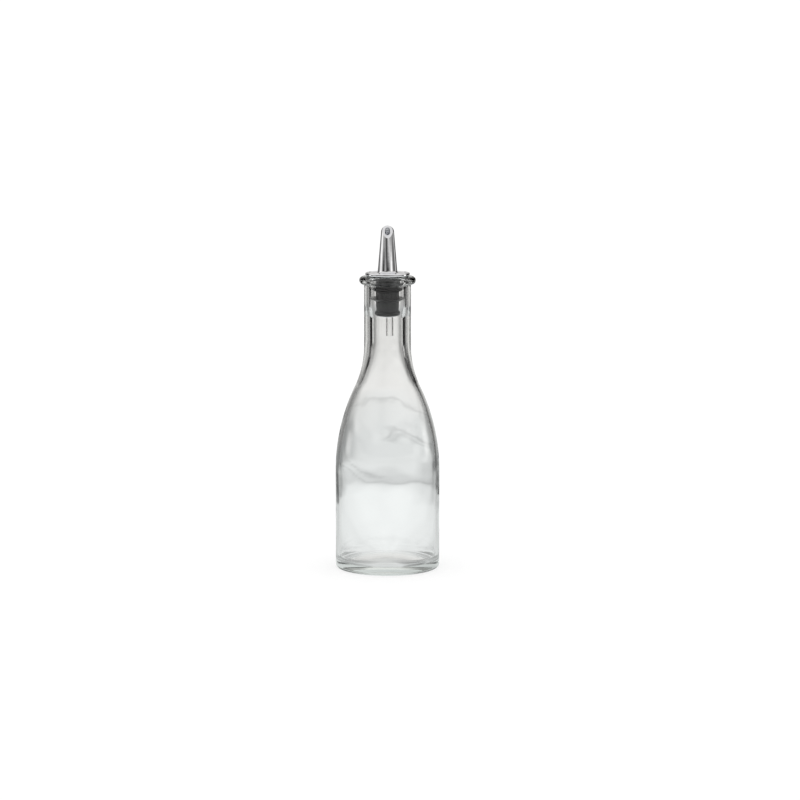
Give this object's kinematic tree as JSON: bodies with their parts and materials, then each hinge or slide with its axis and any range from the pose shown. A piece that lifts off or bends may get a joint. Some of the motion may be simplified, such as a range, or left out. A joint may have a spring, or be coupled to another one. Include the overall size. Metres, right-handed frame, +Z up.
{
  "type": "glass oil bottle",
  "caption": "Clear glass table bottle for oil or vinegar, with a finned stopper and a metal pouring spout that turns and lifts out.",
  "frame": {"origin": "centre of the base, on the plane that the bottle stands on", "axes": "+Z up along the bottle's axis; -Y is the side that the spout's outlet faces at rest"},
  "size_m": [0.0606, 0.0606, 0.2],
  "materials": {
    "clear_glass": "clear fire-polished glass, faint green-grey in the thick parts",
    "black_rubber": "smooth moulded black rubber",
    "bright_metal": "polished bright metal",
    "clear_plastic": "clear extruded plastic tube"
  },
  "bodies": {
    "bottle": {"glass_bottle": "clear_glass"},
    "stopper": {"stopper": "black_rubber"},
    "pourer": {"collar": "bright_metal", "spout": "bright_metal", "vent_tube": "clear_plastic"}
  },
  "joints": [
    {"name": "stopper_lift", "type": "slide", "parent": "bottle", "child": "stopper", "axis": [0, 0, 1], "range_m": [0, 0.045]},
    {"name": "spout_turn", "type": "hinge", "parent": "stopper", "child": "pourer", "pos_m": [0, 0, 0.17], "axis": [0, 0, 1], "continuous": true}
  ]
}
